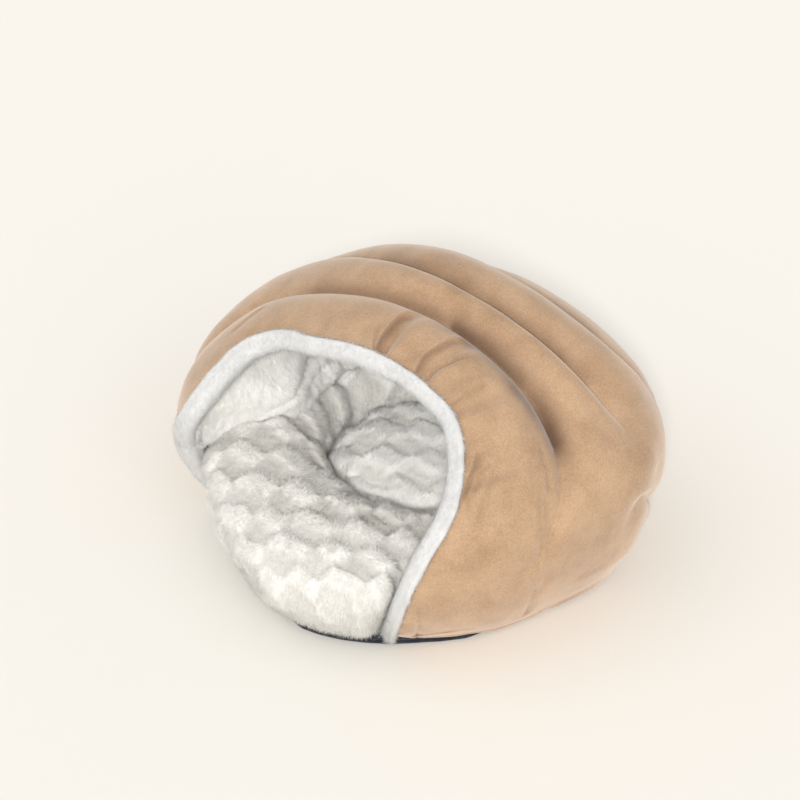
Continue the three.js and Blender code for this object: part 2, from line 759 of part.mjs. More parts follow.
function nestRing() {
  const angles = [];
  for (let angle = -180; angle < 180; angle += RING_STEP) {
    const atSwell = angle >= SWELL_FIRST && angle < SWELL_LAST;
    const atSeam = Math.abs(angle - RING_SEAM_ANGLE) < 2 * RING_SEAM_WIDTH;
    let columns = 1;
    if (atSeam) columns = SEAM_COLUMNS;
    if (atSwell) columns = SWELL_COLUMNS;
    for (let column = 0; column < columns; column += 1) {
      angles.push(angle + (column / columns) * RING_STEP);
    }
  }
  return ringSolid(angles.map(ringSection));
}

// Floor cushion: a round pad with a crowned top and a sewn edge. Rows of its side:
// distance in from the edge, and height.
const CUSHION_SEGMENTS = 40;
const CUSHION_CROWN_STEPS = 6;
const CUSHION_SEAM_INSET = 7;
const CUSHION_BOTTOM = SHEET_THICKNESS + SEAT_GAP;
const cushionSideRows = [
  [8, CUSHION_BOTTOM],
  [2, CUSHION_BOTTOM + 4],
  [0, CUSHION_BOTTOM + 14],
  [0, CUSHION_EDGE_HEIGHT - 12],
  [2, CUSHION_EDGE_HEIGHT - 4],
];

function floorCushion() {
  const radius = NEST_RADIUS - CUSHION_CLEARANCE;
  const profile = [new THREE.Vector2(0, CUSHION_BOTTOM)];
  for (const [inset, height] of cushionSideRows) {
    profile.push(new THREE.Vector2(radius - inset, height));
  }
  for (let step = 0; step < CUSHION_CROWN_STEPS; step += 1) {
    const angle = (step / CUSHION_CROWN_STEPS) * 90 * DEGREE;
    const out = (radius - CUSHION_SEAM_INSET) * Math.cos(angle);
    const height = CUSHION_EDGE_HEIGHT + CUSHION_CROWN * Math.sin(angle);
    profile.push(new THREE.Vector2(out, height));
  }
  profile.push(new THREE.Vector2(0, CUSHION_EDGE_HEIGHT + CUSHION_CROWN));
  const geometry = new THREE.LatheGeometry(profile, CUSHION_SEGMENTS);
  geometry.rotateX(90 * DEGREE);
  geometry.translate(0, WIDEST_LINE_Y, 0);
  return geometry;
}

// Base sheet: flat underside on the floor, with its bead round the edge. Rows of the
// bead: depth inside the outline, and height.
const BASE_COLUMNS = 56;
const BEAD_EDGE_DEPTH = 0.6;
const beadRows = [
  [2, 0],
  [BEAD_EDGE_DEPTH, 2],
  [BEAD_EDGE_DEPTH, 4],
  [2, BEAD_HEIGHT],
  [BEAD_WIDTH - 1, BEAD_HEIGHT],
  [BEAD_WIDTH, SHEET_THICKNESS],
];

function baseSheet() {
  const points = [];
  for (let column = 0; column < BASE_COLUMNS; column += 1) {
    const angle = (column / BASE_COLUMNS) * 360 * DEGREE;
    for (const [depth, height] of beadRows) points.push(outlinePoint(angle, height, depth));
  }
  const under = points.push(new THREE.Vector3(0, 0, 0)) - 1;
  const upper = points.push(new THREE.Vector3(0, 0, SHEET_THICKNESS)) - 1;
  const triangles = [];
  const size = beadRows.length;
  for (let column = 0; column < BASE_COLUMNS; column += 1) {
    const base = column * size;
    const next = ((column + 1) % BASE_COLUMNS) * size;
    for (let k = 0; k < size - 1; k += 1) {
      triangles.push([base + k, base + k + 1, next + k + 1], [base + k, next + k + 1, next + k]);
    }
    triangles.push([under, base, next]);
    triangles.push([upper, next + size - 1, base + size - 1]);
  }
  return closedSolid(points, triangles);
}

// Finishes, from the photograph.
const velvet = { color: 0xcda27c, roughness: 0.85, metalness: 0 };
const plush = { color: 0xeeece6, roughness: 0.95, metalness: 0 };
const shortPile = { color: 0xf3f2ef, roughness: 0.95, metalness: 0 };
const nonSlipCloth = { color: 0x2c2f36, roughness: 0.8, metalness: 0 };

function piece(name, geometry, finish) {
  const mesh = new THREE.Mesh(geometry, new THREE.MeshStandardMaterial(finish));
  mesh.name = name;
  return mesh;
}

const bed = new THREE.Group();
bed.add(piece('base_sheet', baseSheet(), nonSlipCloth));
bed.add(piece('nest_ring', nestRing(), plush));
bed.add(piece('floor_cushion', floorCushion(), plush));
bed.add(piece('hood_lining', hoodLining(), plush));
bed.add(piece('hood_shell', hoodShell(), velvet));
bed.add(piece('mouth_binding', mouthBinding(), shortPile));

export default bed;
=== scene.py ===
import math

import bpy
import numpy as np
from mathutils import Matrix, Vector
from mathutils.bvhtree import BVHTree


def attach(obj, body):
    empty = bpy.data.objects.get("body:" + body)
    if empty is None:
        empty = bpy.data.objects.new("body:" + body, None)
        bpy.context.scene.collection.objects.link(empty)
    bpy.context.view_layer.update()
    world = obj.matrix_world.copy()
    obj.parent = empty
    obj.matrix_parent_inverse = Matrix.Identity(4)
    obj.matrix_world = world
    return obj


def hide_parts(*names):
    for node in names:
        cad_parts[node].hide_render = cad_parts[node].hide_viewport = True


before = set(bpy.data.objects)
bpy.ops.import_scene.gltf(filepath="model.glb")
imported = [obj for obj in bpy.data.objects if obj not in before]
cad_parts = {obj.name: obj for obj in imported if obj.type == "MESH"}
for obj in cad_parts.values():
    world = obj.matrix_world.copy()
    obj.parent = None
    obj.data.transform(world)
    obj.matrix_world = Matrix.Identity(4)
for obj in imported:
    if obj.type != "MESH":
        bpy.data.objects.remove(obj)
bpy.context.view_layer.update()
bpy.ops.object.select_all(action="DESELECT")

# Camera, floor and studio lights: the bed stands on a pale floor and is seen from above,
# a little from its right, through a long lens. The key lamp is near the camera, with a
# weak fill on either side of it and a pale room all round.
VIEW_AZIMUTH = math.radians(37.3)
VIEW_ELEVATION = math.radians(36)
VIEW_DISTANCE = 2.802
BED_MIDDLE = Vector((0, 0.03, 0))
AIM = Vector((-0.0592, 0.0576, 0.0796))
LENS_MM = 141
SENSOR_MM = 36
SEES_TO = 50
FLOOR_SIZE = 14
FLOOR_DROP = 0.0005
FLOOR_COLOR = (0.875, 0.845, 0.785)
FLOOR_ROUGHNESS = 0.9
MATT_GLOSS = 0.2
ROOM_COLOR = (1, 0.99, 0.975)
ROOM_STRENGTH = 0.6


def heading(azimuth, elevation):
    """The direction from the bed to a place at an azimuth and an elevation."""
    level = math.cos(elevation)
    return Vector((math.sin(azimuth) * level, -math.cos(azimuth) * level, math.sin(elevation)))


camera_place = BED_MIDDLE + heading(VIEW_AZIMUTH, VIEW_ELEVATION) * VIEW_DISTANCE
level_right = Vector((math.cos(VIEW_AZIMUTH), math.sin(VIEW_AZIMUTH), 0))
back = (camera_place - AIM).normalized()
right = (level_right - back * level_right.dot(back)).normalized()
up = back.cross(right)
camera = bpy.data.objects.new("camera", bpy.data.cameras.new("camera"))
camera.matrix_world = Matrix(
    (
        (right.x, up.x, back.x, camera_place.x),
        (right.y, up.y, back.y, camera_place.y),
        (right.z, up.z, back.z, camera_place.z),
        (0, 0, 0, 1),
    )
)
camera.data.lens = LENS_MM
camera.data.sensor_width = SENSOR_MM
camera.data.clip_end = SEES_TO
bpy.context.scene.collection.objects.link(camera)
bpy.context.scene.camera = camera


def new_material(name, color, roughness):
    """A plain material, its nodes and its shader."""
    material = bpy.data.materials.new(name)
    material.use_nodes = True
    shader = material.node_tree.nodes["Principled BSDF"]
    shader.inputs["Base Color"].default_value = (*color, 1)
    shader.inputs["Roughness"].default_value = roughness
    shader.inputs["Specular IOR Level"].default_value = MATT_GLOSS
    return material, material.node_tree, shader


floor_paint, _, _ = new_material("pale_floor", FLOOR_COLOR, FLOOR_ROUGHNESS)
bpy.ops.mesh.primitive_plane_add(size=FLOOR_SIZE, location=(0, 0, -FLOOR_DROP))
floor = bpy.context.object
floor.name = "floor"
floor.data.materials.append(floor_paint)

room = bpy.data.worlds.new("pale_room")
room.use_nodes = True
room.node_tree.nodes["Background"].inputs["Color"].default_value = (*ROOM_COLOR, 1)
room.node_tree.nodes["Background"].inputs["Strength"].default_value = ROOM_STRENGTH
bpy.context.scene.world = room
bpy.context.scene.view_settings.view_transform = "Standard"


def soft_lamp(name, azimuth, elevation, strength, spread):
    """A far lamp that shines on the bed from an azimuth and an elevation, in degrees."""
    light = bpy.data.lights.new(name, "SUN")
    light.energy = strength
    light.angle = math.radians(spread)
    lamp = bpy.data.objects.new(name, light)
    facing = heading(math.radians(azimuth), math.radians(elevation))
    lamp.rotation_euler = facing.to_track_quat("Z", "Y").to_euler()
    bpy.context.scene.collection.objects.link(lamp)


soft_lamp("key_lamp", azimuth=34, elevation=32, strength=2.2, spread=8)
soft_lamp("right_lamp", azimuth=60, elevation=30, strength=0.35, spread=30)
soft_lamp("left_lamp", azimuth=-45, elevation=50, strength=0.3, spread=60)


# Base sheet: a flat round of dark non-slip cloth under the whole bed.
# The cloth is dotted underneath for grip. Its edge is turned up into a low bead, which is
# sewn to the hem of the hood and the foot of the ring and shows only under the mouth.
BASE_DARK = (0.020, 0.022, 0.028)
BASE_PALE = (0.055, 0.058, 0.068)
BASE_ROUGHNESS = 0.72
BASE_DOT_PITCH = 0.005
BASE_DOT_RIM = 0.42
BASE_DOT_TOP = 0.28
BASE_WEAVE_SHARE = 0.25
BASE_SHOWN_FROM = math.radians(4)
BASE_SHOWN_TO = math.radians(46)
BASE_SHOWN_FADE = math.radians(8)
BASE_DRAWN_IN = 0.0065
BASE_LET_OUT = 0.0020
BASE_LET_OUT_TO = math.radians(34)
BASE_EDGE_RADIUS = 0.17
BASE_EDGE_POWER = 6
MERGE_GAP = 0.00003
PAIR_ANGLE = math.radians(60)
CAGE_STEP = 0.9


def take(piece):
    """Makes one piece the only one selected."""
    bpy.ops.object.select_all(action="DESELECT")
    piece.select_set(True)
    bpy.context.view_layer.objects.active = piece


def cut_from(node, name):
    """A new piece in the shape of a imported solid, with its triangles paired up."""
    piece = bpy.data.objects.new(name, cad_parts[node].data.copy())
    bpy.context.scene.collection.objects.link(piece)
    piece.data.materials.clear()
    take(piece)
    bpy.ops.object.mode_set(mode="EDIT")
    bpy.ops.mesh.select_all(action="SELECT")
    bpy.ops.mesh.remove_doubles(threshold=MERGE_GAP)
    bpy.ops.mesh.tris_convert_to_quads(face_threshold=PAIR_ANGLE, shape_threshold=PAIR_ANGLE)
    bpy.ops.object.mode_set(mode="OBJECT")
    return piece


def read_rows(items, field):
    """Three numbers of each item of a mesh, a row each."""
    flat = np.empty(len(items) * 3, np.float32)
    items.foreach_get(field, flat)
    return flat.reshape(-1, 3).astype(float)


def points_of(piece):
    """A piece's points, a row each."""
    return read_rows(piece.data.vertices, "co")


def normals_of(piece):
    """The outward direction at each of a piece's points."""
    return read_rows(piece.data.vertex_normals, "vector")


def place_points(piece, points):
    """Moves a piece's points."""
    piece.data.vertices.foreach_set("co", points.astype(np.float32).ravel())
    piece.data.update()


def soften(piece, levels, rounds=3):
    """Rounds a piece with a subdivision surface that still passes near its points."""
    rounding = piece.modifiers.new("rounding", "SUBSURF")
    rounding.levels = 1
    rounding.render_levels = levels
    wanted = points_of(piece)
    cage = wanted
    for _ in range(rounds):
        bpy.context.view_layer.update()
        rounded = piece.evaluated_get(bpy.context.evaluated_depsgraph_get())
        reached = read_rows(rounded.data.vertices, "co")[: len(wanted)]
        cage = cage + CAGE_STEP * (wanted - reached)
        place_points(piece, cage)
    rounding.levels = levels
    take(piece)
    bpy.ops.object.modifier_apply(modifier=rounding.name)


def choose(piece, kind, parts, chosen):
    """Opens a piece in edit mode with only the chosen points or faces selected."""
    take(piece)
    bpy.ops.object.mode_set(mode="EDIT")
    bpy.ops.mesh.select_mode(type=kind)
    bpy.ops.mesh.select_all(action="DESELECT")
    bpy.ops.object.mode_set(mode="OBJECT")
    parts.foreach_set("select", chosen)
    bpy.ops.object.mode_set(mode="EDIT")


def refine(piece, chosen):
    """Divides the chosen faces of a piece once more."""
    choose(piece, "FACE", piece.data.polygons, chosen)
    bpy.ops.mesh.subdivide(number_cuts=1, smoothness=0)
    bpy.ops.object.mode_set(mode="OBJECT")


def centres_of(piece):
    """The middle of each face of a piece."""
    return read_rows(piece.data.polygons, "center")


def finish_piece(piece, node, material):
    """Shades, paints and declares a finished piece."""
    piece.data.shade_smooth()
    piece.data.materials.append(material)
    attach(piece, "root")
    if node:
        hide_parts(node)


def add_node(tree, kind, **settings):
    """A new node with some of its settings made."""
    node = tree.nodes.new(kind)
    for name, value in settings.items():
        setattr(node, name, value)
    return node


def add_socket(group, name, direction, kind):
    """A named input or output of a node group."""
    return group.interface.new_socket(name, in_out=direction, socket_type=kind)


# The mottle of a napped or piled cloth, which every material here uses: pale and deep
# patches where the nap lies one way or the other, finer streaks, and a height for a bump.
NAP_DETAIL = 5
NAP_GRAIN_DETAIL = 2
NAP_PATCH_ROUGHNESS = 0.6
NAP_STREAK_ROUGHNESS = 0.65
NAP_STREAK_BEND = 0.2
NAP_DEEP_BELOW = 0.72
NAP_PALE_ABOVE = 1.28

nap = bpy.data.node_groups.new("nap", "ShaderNodeTree")
add_socket(nap, "Patches", "INPUT", "NodeSocketFloat")
add_socket(nap, "Streaks", "INPUT", "NodeSocketFloat")
add_socket(nap, "Grain", "INPUT", "NodeSocketFloat")
add_socket(nap, "Deep", "INPUT", "NodeSocketColor")
add_socket(nap, "Pale", "INPUT", "NodeSocketColor")
add_socket(nap, "Color", "OUTPUT", "NodeSocketColor")
add_socket(nap, "Height", "OUTPUT", "NodeSocketFloat")
nap_in = add_node(nap, "NodeGroupInput")
nap_out = add_node(nap, "NodeGroupOutput")
nap_place = add_node(nap, "ShaderNodeTexCoord")
nap_patches = add_node(nap, "ShaderNodeTexNoise")
nap_streaks = add_node(nap, "ShaderNodeTexNoise")
nap_grain = add_node(nap, "ShaderNodeTexNoise")
nap_patches.inputs["Detail"].default_value = NAP_DETAIL
nap_patches.inputs["Roughness"].default_value = NAP_PATCH_ROUGHNESS
nap_streaks.inputs["Detail"].default_value = NAP_DETAIL
nap_streaks.inputs["Roughness"].default_value = NAP_STREAK_ROUGHNESS
nap_streaks.inputs["Distortion"].default_value = NAP_STREAK_BEND
nap_grain.inputs["Detail"].default_value = NAP_GRAIN_DETAIL
for texture, scale in ((nap_patches, "Patches"), (nap_streaks, "Streaks"), (nap_grain, "Grain")):
    nap.links.new(nap_place.outputs["Object"], texture.inputs["Vector"])
    nap.links.new(nap_in.outputs[scale], texture.inputs["Scale"])
nap_sum = add_node(nap, "ShaderNodeMath", operation="ADD")
nap.links.new(nap_patches.outputs["Fac"], nap_sum.inputs[0])
nap.links.new(nap_streaks.outputs["Fac"], nap_sum.inputs[1])
nap_spread = add_node(nap, "ShaderNodeMapRange")
nap_spread.inputs["From Min"].default_value = NAP_DEEP_BELOW
nap_spread.inputs["From Max"].default_value = NAP_PALE_ABOVE
nap.links.new(nap_sum.outputs[0], nap_spread.inputs["Value"])
nap_mix = add_node(nap, "ShaderNodeMix", data_type="RGBA")
nap.links.new(nap_spread.outputs["Result"], nap_mix.inputs["Factor"])
nap.links.new(nap_in.outputs["Deep"], nap_mix.inputs["A"])
nap.links.new(nap_in.outputs["Pale"], nap_mix.inputs["B"])
nap.links.new(nap_mix.outputs["Result"], nap_out.inputs["Color"])
nap.links.new(nap_grain.outputs["Fac"], nap_out.inputs["Height"])


def add_nap(tree, patches, streaks, grain, deep, pale):
    """Places the nap group in a material with its own scales and colours."""
    group = add_node(tree, "ShaderNodeGroup", node_tree=nap)
    group.inputs["Patches"].default_value = patches
    group.inputs["Streaks"].default_value = streaks
    group.inputs["Grain"].default_value = grain
    group.inputs["Deep"].default_value = (*deep, 1)
    group.inputs["Pale"].default_value = (*pale, 1)
    return group


def add_bump(tree, shader, height, strength, distance):
    """Feeds a height to a shader as a bump."""
    bump = add_node(tree, "ShaderNodeBump")
    bump.inputs["Strength"].default_value = strength
    bump.inputs["Distance"].default_value = distance
    tree.links.new(height, bump.inputs["Height"])
    tree.links.new(bump.outputs["Normal"], shader.inputs["Normal"])


base_cloth, base_tree, base_shader = new_material("non_slip_cloth", BASE_DARK, BASE_ROUGHNESS)
base_nap = add_nap(
    base_tree, patches=40, streaks=260, grain=900, deep=BASE_DARK, pale=BASE_PALE
)
base_dots = add_node(base_tree, "ShaderNodeTexVoronoi")
base_dots.inputs["Scale"].default_value = 1 / BASE_DOT_PITCH
base_dots.inputs["Randomness"].default_value = 0
base_place = add_node(base_tree, "ShaderNodeTexCoord")
base_grip = add_node(base_tree, "ShaderNodeMapRange")
base_grip.inputs["From Min"].default_value = BASE_DOT_RIM
base_grip.inputs["From Max"].default_value = BASE_DOT_TOP
base_height = add_node(base_tree, "ShaderNodeMath", operation="MULTIPLY_ADD")
base_height.inputs[1].default_value = BASE_WEAVE_SHARE
base_tree.links.new(base_place.outputs["Object"], base_dots.inputs["Vector"])
base_tree.links.new(base_dots.outputs["Distance"], base_grip.inputs["Value"])
base_tree.links.new(base_nap.outputs["Height"], base_height.inputs[0])
base_tree.links.new(base_grip.outputs["Result"], base_height.inputs[2])
base_tree.links.new(base_nap.outputs["Color"], base_shader.inputs["Base Color"])
add_bump(base_tree, base_shader, base_height.outputs[0], strength=0.6, distance=0.0006)


def turn_from_front(points):
    """The heading of each point round the bed, from the front and positive to the right."""
    return np.arctan2(points[:, 0], BED_MIDDLE.y - points[:, 1])


def base_hidden(points):
    """1 where the foot of the bed hides the edge of the base, and 0 under the mouth."""
    turn = turn_from_front(points)
    past = np.maximum(BASE_SHOWN_FROM - turn, turn - BASE_SHOWN_TO) / BASE_SHOWN_FADE
    return np.clip(past, 0, 1)


base_sheet = cut_from("base_sheet", "base_cloth")
soften(base_sheet, levels=2)
points = points_of(base_sheet)
away = points - np.array(BED_MIDDLE)
away[:, 2] = 0
radius = np.linalg.norm(away, axis=1)
let_out = 1 - base_hidden(points)
let_out *= np.clip((BASE_LET_OUT_TO - turn_from_front(points)) / BASE_SHOWN_FADE, 0, 1)
drawn = BASE_DRAWN_IN * base_hidden(points) - BASE_LET_OUT * let_out
drawn *= np.minimum(radius / BASE_EDGE_RADIUS, 1) ** BASE_EDGE_POWER
place_points(base_sheet, points - away * (drawn / np.maximum(radius, 0.001))[:, None])
finish_piece(base_sheet, "base_sheet", base_cloth)


# Nest ring: a ring of white plush, stuffed, whose front stands out as a roll.
# A chequer of lozenges is sheared into the pile before the cloth is sewn into a tube. The
# pile lies down and outwards, and its tips hang over the edge of the base in front.
PLUSH_DEEP = (0.79, 0.77, 0.725)
PLUSH_PALE = (0.87, 0.855, 0.82)
# the colour of the painted shade, mixed in where the pile is low
PLUSH_SHADE = (0.61, 0.59, 0.54)
PLUSH_NAP = (45, 500, 1100)
PLUSH_SHEEN = 0.25
PILED_ROUGHNESS = 0.92
PILED_SHEEN_ROUGHNESS = 0.6
PALE_FROM = 0.95
PATCH_LENGTH = 0.0368
PATCH_WIDTH = 0.0234
PATCH_SKEW = 0.13
PATCH_SLOPE = 0.0075
PATCH_RIM = 0.0018
PATCH_RELIEF = 0.0048
PATCH_LEVEL = 0.5
PATCH_STANDING = 0.42
PATCH_VARIES = 0.16
PATCH_SHEARED = 0.8
PATCH_WOBBLES = ((0.034, 0.0065, 1), (0.013, 0.0028, 3), (0.005, 0.0012, 5))
TUFT_RELIEF = 0.0004
TUFT_SIZE = 0.005
TUFT_FINE_SIZE = 0.0025
TUFT_FINE_SHARE = 0.5
RING_MIDDLE_RADIUS = 0.145
RING_MIDDLE_HEIGHT = 0.05
RING_TUBE_LEAST = 0.035
RING_FINE_FROM = 0.02
RING_CARVED_FROM = 0.012
RING_CARVED_FADE = 0.055
RING_FOOT_SHADE = -0.8
RING_OPEN_RIGHT = 0.14
RING_PILE_FROM = 0.004
NEST_RADIUS = 0.165
NEST_FROM = 0.03
RING_HEADING = math.radians(-10)
RING_STRANDS = 150000
RING_COMB = (0.15, -0.25, -0.8)
PILE_LENGTH = 0.0051
PILE_WIDTH = 0.0009
PILE_ROOT = 0.0006
PILE_LIFT = 0.65
PILE_LIFT_LEAST = 0.6
PILE_LIFT_VARIES = 0.8
PILE_LEAST = 0.65
PILE_STANDING_MORE = 0.35
PILE_LENGTH_VARIES = 0.35
PILE_SWIRL = 0.45
PILE_SWIRL_SIZE = 0.014
PILE_STRAY = 0.25
PILE_LOW_SHADE = 0.49
PILE_SHADE_RISE = 0.46
PILE_SHADE_VARIES = 0.22
PILE_TIP_LIGHTER = 0.15
PILE_HEM_HEIGHT = 0.035
PILE_HEM_LONGER = 1.0
PILE_CLEAR = 0.0008
PILE_CLEAR_BASE = 0.0036
SLIGHT = 1e-6


def soft_noise(points, size, seed):
    """Smooth noise from -1 to 1 over space, with bumps about `size` across."""
    scaled = points / size + seed * 17.31
    cell = np.floor(scaled).astype(np.int64)
    share = scaled - cell
    share = share * share * (3 - 2 * share)
    total = np.zeros(len(points))
    for corner in range(8):
        step = np.array([corner & 1, corner >> 1 & 1, corner >> 2 & 1])
        at = cell + step
        # a fixed hash of the corner's three whole numbers gives its value
        mixed = at[:, 0] * 73856093 ^ at[:, 1] * 19349663 ^ at[:, 2] * 83492791
        mixed = (mixed ^ mixed >> 13) * 1274126177 & 0x7FFFFFFF
        value = (mixed >> 8 & 0xFFFF) / 32767.5 - 1
        weight = np.where(step, share, 1 - share).prod(axis=1)
        total += value * weight
    return total


def carved_patches(along, across, points, turned, edge):
    """Height from 0 to 1 of the patches left standing in the pile, on the flat cloth.

    Their edges wander by some noises, each of a size, a bend and a seed.
    """
    for size, bend, seed in PATCH_WOBBLES:
        along = along + bend * soft_noise(points, size, seed)
        across = across + bend * soft_noise(points, size, seed + 1)
    down_row = along * math.cos(turned) + across * math.sin(turned)
    over_row = across * math.cos(turned) - along * math.sin(turned)
    down_row = (down_row + PATCH_SKEW * over_row) / PATCH_LENGTH
    over_row = over_row / PATCH_WIDTH
    number = np.floor(down_row)
    row = np.floor(over_row)
    from_end = (0.5 - np.abs(down_row - number - 0.5)) * PATCH_LENGTH
    from_side = (0.5 - np.abs(over_row - row - 0.5)) * PATCH_WIDTH
    inside = np.clip(np.minimum(from_end, from_side) / edge, 0, 1)
    inside = inside * (2 - inside)
    standing = (number + row) % 2 == 0
    tall = PATCH_STANDING + PATCH_VARIES * np.sin(number * 7.3 + row * 4.1)
    return PATCH_LEVEL + np.where(standing, tall, -PATCH_SHEARED * tall) * inside


def keep_number(piece, name, values):
    """Keeps a number for each point of a piece, for its material."""
    kept = piece.data.attributes.new(name, "FLOAT", "POINT")
    kept.data.foreach_set("value", values.astype(np.float32))


def carve(piece, height, reach, shade):
    """Lifts and presses the patches of a plush piece, and keeps the painted shade of its pile.
    """
    points = points_of(piece)
    tufts = soft_noise(points, TUFT_SIZE, 5)
    tufts = tufts + TUFT_FINE_SHARE * soft_noise(points, TUFT_FINE_SIZE, 6)
    sink = ((height - PATCH_LEVEL) * PATCH_RELIEF + tufts * TUFT_RELIEF) * reach
    place_points(piece, points + normals_of(piece) * sink[:, None])
    keep_number(piece, "pile_height_and_painted_shade", shade)


def number_of(piece, name):
    """Reads a number kept for each point of a piece."""
    values = np.empty(len(piece.data.vertices), np.float32)
    piece.data.attributes[name].data.foreach_get("value", values)
    return values.astype(float)


def unit(rows):
    """Rows of numbers as directions."""
    return rows / np.maximum(np.linalg.norm(rows, axis=1), 1e-9)[:, None]


def grow_pile(carrier, name, count, length, width, comb, shown, seed):
    """Strands of pile on a piece: thin blades rooted in its surface that lean one way."""
    draw = np.random.default_rng(seed)
    carrier.data.calc_loop_triangles()
    triangles = carrier.data.loop_triangles
    corners = np.empty(len(triangles) * 3, np.int32)
    triangles.foreach_get("vertices", corners)
    corners = corners.reshape(-1, 3)
    points = points_of(carrier)
    normals = normals_of(carrier)
    heights = number_of(carrier, "pile_height_and_painted_shade")
    first, second, third = (points[corners[:, side]] for side in range(3))
    area = np.linalg.norm(np.cross(second - first, third - first), axis=1)
    area = area * shown((first + second + third) / 3, unit(normals[corners].sum(axis=1)))
    picks = corners[draw.choice(len(area), count, p=area / area.sum())]
    split = np.sqrt(draw.random(count))
    other = draw.random(count)
    weights = np.stack([1 - split, split * (1 - other), split * other], axis=1)[:, :, None]
    roots = (points[picks] * weights).sum(axis=1)
    out = unit((normals[picks] * weights).sum(axis=1))
    height = (heights[picks] * weights[:, :, 0]).sum(axis=1)
    swirl = [soft_noise(roots, PILE_SWIRL_SIZE, seed + step) for step in range(3)]
    stray = draw.normal(0, PILE_STRAY, (count, 3))
    lie = np.array(comb) + PILE_SWIRL * np.stack(swirl, axis=1) + stray
    lie = unit(lie - out * (lie * out).sum(axis=1)[:, None])
    lift = PILE_LIFT * (PILE_LIFT_LEAST + PILE_LIFT_VARIES * draw.random(count))[:, None]
    grow = unit(lie + out * lift)
    share = PILE_LEAST + PILE_STANDING_MORE * np.clip(height, 0, 1)
    long = length * (share + PILE_LENGTH_VARIES * draw.random(count))
    long = long * (1 + PILE_HEM_LONGER * np.clip(1 - roots[:, 2] / PILE_HEM_HEIGHT, 0, 1))
    side = unit(np.cross(grow, out)) * width / 2
    roots = roots - out * PILE_ROOT
    tips = roots + grow * long[:, None]
    clear = PILE_CLEAR_BASE + (PILE_CLEAR - PILE_CLEAR_BASE) * base_hidden(tips)
    tips[:, 2] = np.maximum(tips[:, 2], clear)
    blades = np.stack([roots - side, roots + side, tips], axis=1).reshape(-1, 3)
    mesh = bpy.data.meshes.new(name)
    mesh.vertices.add(count * 3)
    mesh.vertices.foreach_set("co", blades.astype(np.float32).ravel())
    mesh.loops.add(count * 3)
    mesh.loops.foreach_set("vertex_index", np.arange(count * 3, dtype=np.int32))
    mesh.polygons.add(count)
    mesh.polygons.foreach_set("loop_start", np.arange(0, count * 3, 3, dtype=np.int32))
    mesh.update()
    faces = np.cross(blades[1::3] - blades[0::3], blades[2::3] - blades[0::3])
    faces = unit(faces * np.sign((faces * out).sum(axis=1))[:, None])
    shade = np.repeat(unit(out * 0.5 + faces * 0.5), 3, axis=0)
    mesh.shade_smooth()
    mesh.normals_split_custom_set_from_vertices(shade.tolist())
    pile = bpy.data.objects.new(name, mesh)
    bpy.context.scene.collection.objects.link(pile)
    # Each strand's painted shade and light: darker where the pile is low, lighter where it
    # stands, with a random spread.
    varied = draw.normal(0, PILE_SHADE_VARIES, count)
    lighter = np.repeat(PILE_LOW_SHADE + PILE_SHADE_RISE * height + varied, 3)
    # painted light: the tip of each strand is painted lighter
    lighter[2::3] += PILE_TIP_LIGHTER
    keep_number(pile, "pile_height_and_painted_shade", lighter)
    return pile


def finish_pile(pile, material):
    """Paints and declares a pile that stands on a finished piece."""
    pile.data.materials.append(material)
    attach(pile, "root")


def pile_material(name, scales, deep, pale, shade, sheen):
    """A piled cloth: mottled by its nap, with painted shade where its pile is low."""
    material, tree, shader = new_material(name, pale, PILED_ROUGHNESS)
    shader.inputs["Sheen Weight"].default_value = sheen
    shader.inputs["Sheen Roughness"].default_value = PILED_SHEEN_ROUGHNESS
    mottle = add_nap(tree, *scales, deep, pale)
    height = add_node(tree, "ShaderNodeAttribute", attribute_name="pile_height_and_painted_shade")
    # Painted shade: the shade colour is mixed in where the pile's kept number is low.
    spread = add_node(tree, "ShaderNodeMapRange")
    spread.inputs["From Max"].default_value = PALE_FROM
    mix = add_node(tree, "ShaderNodeMix", data_type="RGBA")
    mix.inputs["A"].default_value = (*shade, 1)
    tree.links.new(height.outputs["Fac"], spread.inputs["Value"])
    tree.links.new(spread.outputs["Result"], mix.inputs["Factor"])
    tree.links.new(mottle.outputs["Color"], mix.inputs["B"])
    tree.links.new(mix.outputs["Result"], shader.inputs["Base Color"])
    add_bump(tree, shader, mottle.outputs["Height"], strength=0.35, distance=0.0008)
    return material


white_plush = pile_material(
    "carved_plush", PLUSH_NAP, PLUSH_DEEP, PLUSH_PALE, PLUSH_SHADE, PLUSH_SHEEN
)

nest_ring = cut_from("nest_ring", "ring")
soften(nest_ring, levels=2)
refine(nest_ring, centres_of(nest_ring)[:, 2] > RING_FINE_FROM)
points = points_of(nest_ring)
away = points - np.array(BED_MIDDLE)
turn = np.arctan2(away[:, 1], away[:, 0])
radius = np.hypot(away[:, 0], away[:, 1])
over = np.arctan2(radius - RING_MIDDLE_RADIUS, points[:, 2] - RING_MIDDLE_HEIGHT)
tube = np.hypot(radius - RING_MIDDLE_RADIUS, points[:, 2] - RING_MIDDLE_HEIGHT)
flat_radius = RING_MIDDLE_RADIUS + np.maximum(tube, RING_TUBE_LEAST) * over
place = (flat_radius * np.cos(turn), flat_radius * np.sin(turn), points, RING_HEADING)
ring_patches = carved_patches(*place, PATCH_SLOPE)
ring_shade = carved_patches(*place, PATCH_RIM)
# Painted shade: below the carved band the foot of the ring, which faces the key lamp, is painted
# darker.
carved = np.clip((points[:, 2] - RING_CARVED_FROM) / RING_CARVED_FADE, 0, 1)
ring_shade = RING_FOOT_SHADE + (ring_shade - RING_FOOT_SHADE) * carved
carve(nest_ring, ring_patches, carved, ring_shade)
finish_piece(nest_ring, "nest_ring", white_plush)


